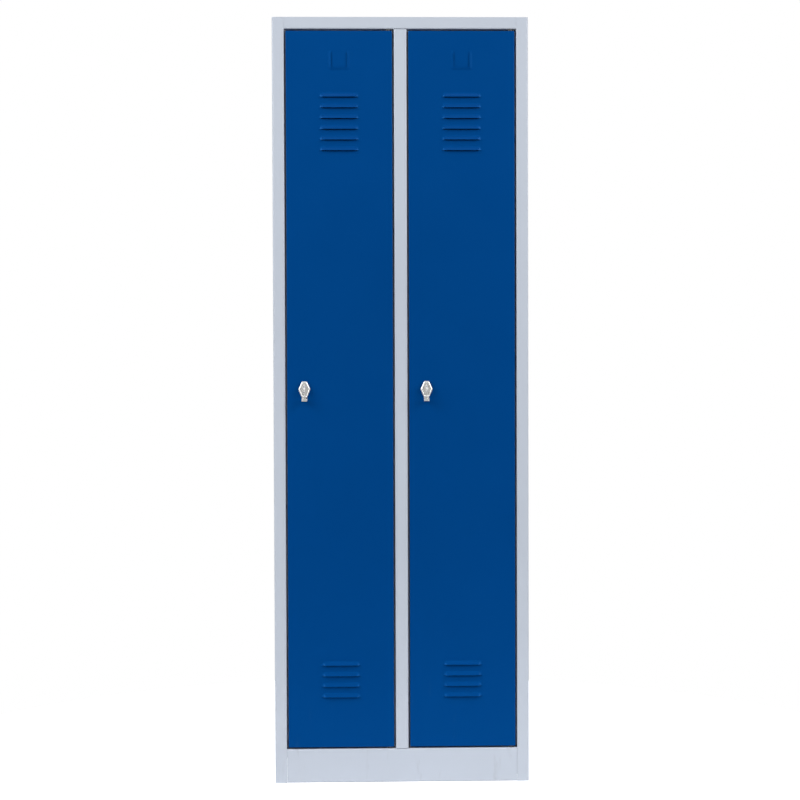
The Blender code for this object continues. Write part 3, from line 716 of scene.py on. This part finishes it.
def latch_handle(side):
    """The diamond with its rounded rim and recessed face, and the fin with its eye."""
    x, front, z = JOINTS[f"{side}_latch_turn"]["pos_m"]
    shape = bmesh.new()
    loft(shape, [[(x + u, front - depth, z + v) for u, v in diamond_loop(inset)]
                 for inset, depth in DIAMOND_LEVELS])
    bmesh.ops.recalc_face_normals(shape, faces=shape.faces)

    fin = [(FIN_ROOT, -FIN_FOOT), (FIN_SHOULDER, -FIN_FOOT)]
    fin += arc((EYE_STAND, 0.0), FIN_TIP - EYE_STAND, -60.0, 60.0, 21)
    fin += [(FIN_SHOULDER, FIN_FOOT), (FIN_ROOT, FIN_FOOT)]
    blade = extruded(fin, lambda u, v, w: (x + w, front - u, z + v), -FIN_HALF, FIN_HALF)
    drill = bmesh.new()
    add_cylinder(drill, (x, front - EYE_STAND, z), EYE_RADIUS, 0.010, "X")
    blade_mesh = evaluated(blade, bevel(0.0007, 3, 50.0), cut(tool_object(drill)))
    mesh = evaluated(shape, join(keep_tool(blade_mesh)))
    name = f"{side}_latch_handle"
    finish_piece(f"{name}_cast", mesh, CHROME, f"{side}_latch", [name])


def latch_base(side):
    """The strap on the door, its rounded lug, and the bored barrel that goes through the door."""
    x, front, z = JOINTS[f"{side}_latch_turn"]["pos_m"]
    low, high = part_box(f"{side}_latch_base")
    half = STRAP_HALF_WIDTH
    strap = bmesh.new()
    add_box(strap, (x - half, front - STRAP_FACE, low.z), (x + half, front - GAP, high.z))
    outline = [(-half, LUG_ROOT), (half, LUG_ROOT)]
    shoulder = LUG_TIP - LUG_CORNER
    outline += arc((half - LUG_CORNER, shoulder), LUG_CORNER, 0.0, 90.0, 7)
    outline += arc((LUG_CORNER - half, shoulder), LUG_CORNER, 90.0, 180.0, 7)
    lug = extruded(outline, lambda u, v, w: (x + u, front - v, z + w), -LUG_BOTTOM, -LUG_TOP)
    add_cylinder(lug, (x, (front + high.y) / 2, z), BARREL_RADIUS, high.y - front, "Y")
    drill = bmesh.new()
    add_cylinder(drill, (x, front, z), BARREL_HOLE, 0.060, "Y")
    add_cylinder(drill, (x, front - EYE_STAND, z - (LUG_TOP + LUG_BOTTOM) / 2), EYE_RADIUS, 0.012, "Z")
    mesh = evaluated(strap, join(tool_object(lug)), cut(tool_object(drill)), bevel(0.0005, 2, 40.0))
    name = f"{side}_latch_base"
    finish_piece(f"{name}_cast", mesh, CHROME, f"{side}_door", [name])


def latch_cam(side):
    x, _, z = JOINTS[f"{side}_latch_turn"]["pos_m"]
    low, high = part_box(f"{side}_latch_cam")
    reach = z - low.z
    outline = arc((0.0, 0.0), CAM_ROUND, 0.0, 180.0, 25)
    outline += arc((0.0, CAM_TIP - reach), CAM_TIP, 180.0, 360.0, 17)
    shape = extruded(outline, lambda u, v, w: (x + u, w, z + v), low.y, high.y)
    drill = bmesh.new()
    add_box(drill, (x - CAM_SQUARE, low.y - 0.002, z - CAM_SQUARE),
            (x + CAM_SQUARE, high.y + 0.002, z + CAM_SQUARE))
    mesh = evaluated(shape, cut(tool_object(drill)), bevel(0.0003, 2, 40.0))
    name = f"{side}_latch_cam"
    finish_piece(f"{name}_stamped", mesh, ZINC, f"{side}_latch", [name])


# Inside

def lathe(profile, centre, axis, segments=64):
    """Turn a closed or axis-to-axis profile of (radius, height) points about an axis."""
    shape = bmesh.new()
    verts = [shape.verts.new((radius, 0.0, height)) for radius, height in profile]
    closed = profile[0][0] > 0.0
    pairs = list(zip(verts, verts[1:])) + ([(verts[-1], verts[0])] if closed else [])
    edges = [shape.edges.new(pair) for pair in pairs]
    bmesh.ops.spin(shape, geom=verts + edges, cent=(0, 0, 0), axis=(0, 0, 1), angle=math.tau,
                   steps=segments, use_merge=True, use_duplicate=False)
    bmesh.ops.remove_doubles(shape, verts=shape.verts, dist=1e-6)
    bmesh.ops.transform(shape, matrix=Matrix.Translation(centre) @ TURNS[axis], verts=shape.verts)
    bmesh.ops.recalc_face_normals(shape, faces=shape.faces)
    return shape


def clothes_rail(side):
    name = f"{side}_clothes_rail"
    low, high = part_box(name)
    centre, half = (low + high) / 2, (high.x - low.x) / 2
    outer = (high.z - low.z) / 2
    inner = outer - RAIL_WALL
    tube = [(outer, half), (outer, -half), (inner, -half), (inner, half)]
    mesh = evaluated(lathe(tube, centre, "X"), bevel(0.0003, 2, 40.0))
    finish_piece(f"{name}_drawn", mesh, ZINC, "carcass", [name])


def rail_sockets(side):
    for number, facing in ((1, 1.0), (2, -1.0)):
        name = f"{side}_rail_socket_{number}"
        low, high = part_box(name)
        base = low.x if facing > 0 else high.x
        centre = (base, (low.y + high.y) / 2, (low.z + high.z) / 2)
        profile = [(radius, facing * height) for radius, height in SOCKET_PROFILE]
        mesh = evaluated(lathe(profile, centre, "X"), bevel(0.0004, 2, 40.0))
        finish_piece(f"{name}_pressed", mesh, ZINC, "carcass", [name])


def hook_route():
    """The bent wire in the YZ plane: a ring over the rail, a straight shank and a bowl."""
    ring = arc((0.0, -RING_DROP), RING_RADIUS, *RING_ENDS, 41)
    bowl = arc((-BOWL_RADIUS, SHANK[-1][1]), BOWL_RADIUS, 0.0, -180.0, 25)[1:]
    return ring + SHANK + bowl + [BOWL_TIP]


def coat_hooks(side):
    route = hook_route()
    for number in range(1, HOOKS_PER_RAIL + 1):
        name = f"{side}_coat_hook_{number}"
        low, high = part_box(name)
        back = high.y - RING_RADIUS - CAD_WIRE_RADIUS
        top = high.z - RING_RADIUS - CAD_WIRE_RADIUS + RING_DROP
        curve = bpy.data.curves.new("wire", "CURVE")
        curve.dimensions = "3D"
        curve.bevel_depth = WIRE_RADIUS
        curve.bevel_resolution = 5
        curve.use_fill_caps = True
        line = curve.splines.new("POLY")
        line.points.add(len(route) - 1)
        for point, (y, z) in zip(line.points, route):
            point.co = ((low.x + high.x) / 2, back + y, top + z, 1.0)
        wire = link("wire", curve)
        bpy.context.view_layer.update()
        mesh = bpy.data.meshes.new_from_object(wire.evaluated_get(bpy.context.evaluated_depsgraph_get()))
        bpy.data.objects.remove(wire, do_unlink=True)
        finish_piece(f"{name}_bent", mesh, ZINC, f"{side}_hook_{number}", [name])


# Carried-over solids

def dress_frame_nodes():
    """Give the small solids that stay as they are a softened edge and their own finish."""
    # The nylon and black_steel slots get dark finishes that also paint the shade of the door gaps.
    finishes = {"zinc_plate": ZINC, "rubber": RUBBER, "nylon": NYLON_AND_GAP_SHADE, "black_steel": BLACK_STEEL_AND_GAP_SHADE,
                "chrome": CHROME, "grey_paint": GREY, "blue_paint": BLUE}
    slots = {row["node"]: row["material_slot"] for row in frame["record"]["subparts"]}
    for name, node in frame["nodes"].items():
        node.data.materials.clear()
        node.data.materials.append(finishes[slots[name]])
        weld = node.modifiers.new("weld", "WELD")
        weld.merge_threshold = 1e-5
        edge = node.modifiers.new("edge", "BEVEL")
        edge.width = 0.0003
        edge.segments = 2
        edge.limit_method = "ANGLE"
        edge.angle_limit = math.radians(40)
        edge.use_clamp_overlap = True


# Studio

def studio_floor():
    """A round white floor, whose glow only the camera sees."""
    floor = bmesh.new()
    bmesh.ops.create_circle(floor, cap_ends=True, segments=96, radius=STAGE_RADIUS)
    mesh = bpy.data.meshes.new("studio_floor")
    floor.to_mesh(mesh)
    floor.free()
    plane = link("studio_floor", mesh)
    plane.location.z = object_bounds()[0][2] - STAGE_DROP
    paint = bpy.data.materials.new("studio_white")
    paint.use_nodes = True
    shader = paint.node_tree.nodes["Principled BSDF"]
    shader.inputs["Base Color"].default_value = (FLOOR_ALBEDO, FLOOR_ALBEDO, FLOOR_ALBEDO, 1.0)
    shader.inputs["Roughness"].default_value = 0.9
    shader.inputs["Specular IOR Level"].default_value = 0.0
    shader.inputs["Emission Color"].default_value = (1.0, 1.0, 1.0, 1.0)
    seen = paint.node_tree.nodes.new("ShaderNodeLightPath").outputs["Is Camera Ray"]
    paint.node_tree.links.new(seen, shader.inputs["Emission Strength"])
    mesh.materials.append(paint)
    plane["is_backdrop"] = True


def surroundings():
    """White to the camera, and a dim soft light to the object."""
    world = bpy.data.worlds.new("studio")
    SCENE.world = world
    world.use_nodes = True
    tree = world.node_tree
    tree.nodes.clear()
    ray = tree.nodes.new("ShaderNodeLightPath")
    seen = tree.nodes.new("ShaderNodeBackground")
    seen.inputs["Strength"].default_value = 1.0
    seen.inputs["Color"].default_value = (1.0, 1.0, 1.0, 1.0)
    lighting = tree.nodes.new("ShaderNodeBackground")
    lighting.inputs["Strength"].default_value = SURROUND_STRENGTH
    lighting.inputs["Color"].default_value = SURROUND_COLOUR
    mix = tree.nodes.new("ShaderNodeMixShader")
    out = tree.nodes.new("ShaderNodeOutputWorld")
    tree.links.new(ray.outputs["Is Camera Ray"], mix.inputs["Fac"])
    tree.links.new(lighting.outputs[0], mix.inputs[1])
    tree.links.new(seen.outputs[0], mix.inputs[2])
    tree.links.new(mix.outputs[0], out.inputs["Surface"])


def lights():
    sky = bpy.data.lights.new("overhead", "SUN")
    sky.energy = OVERHEAD_ENERGY
    sky.angle = OVERHEAD_ANGLE
    link("overhead", sky)
    for name, (place, size, power, colour) in SOFTBOXES.items():
        softbox(name, place, size, power, colour)


def softbox(name, place, size, power, colour):
    light = bpy.data.lights.new(name, "AREA")
    light.shape = "RECTANGLE"
    light.size, light.size_y = size
    light.energy = power
    light.color = colour
    lamp = link(name, light)
    lamp.location = place
    aim = LIGHTS_AIM - Vector(place)
    lamp.rotation_euler = aim.to_track_quat("-Z", "Y").to_euler()


def camera():
    lens = bpy.data.cameras.new("camera")
    lens.sensor_width = 36.0
    lens.lens = CAMERA_LENS
    lens.clip_end = 100.0
    eye = link("camera", lens)
    eye.location = CAMERA_PLACE
    eye.rotation_euler = tuple(map(math.radians, CAMERA_TURN))
    SCENE.camera = eye


SCENE.view_settings.view_transform = "Standard"
camera()
studio_floor()
surroundings()
lights()
dress_frame_nodes()
for locker_side in SIDES:
    side_panel(locker_side)
    door_panel(locker_side)
    door_stiffener(locker_side)
    latch_handle(locker_side)
    latch_base(locker_side)
    latch_cam(locker_side)
    clothes_rail(locker_side)
    rail_sockets(locker_side)
    coat_hooks(locker_side)
centre_stile()
rail_sheet("top_rail", [(FRONT, HEIGHT), (FRONT, OPENING_HIGH), (RAIL_LIP, OPENING_HIGH),
                        (RAIL_LIP, OPENING_HIGH - STRIKE_LIP)])
rail_sheet("plinth", [(RAIL_LIP, PLINTH + STRIKE_LIP), (RAIL_LIP, PLINTH), (FRONT, PLINTH),
                      (FRONT, 0.0), (FRONT + PLINTH_FLANGE, 0.0)])
carcass_trays()
floor_panel()
centre_partition()
back_panel()
for tool in TOOLS:
    bpy.data.objects.remove(tool, do_unlink=True)
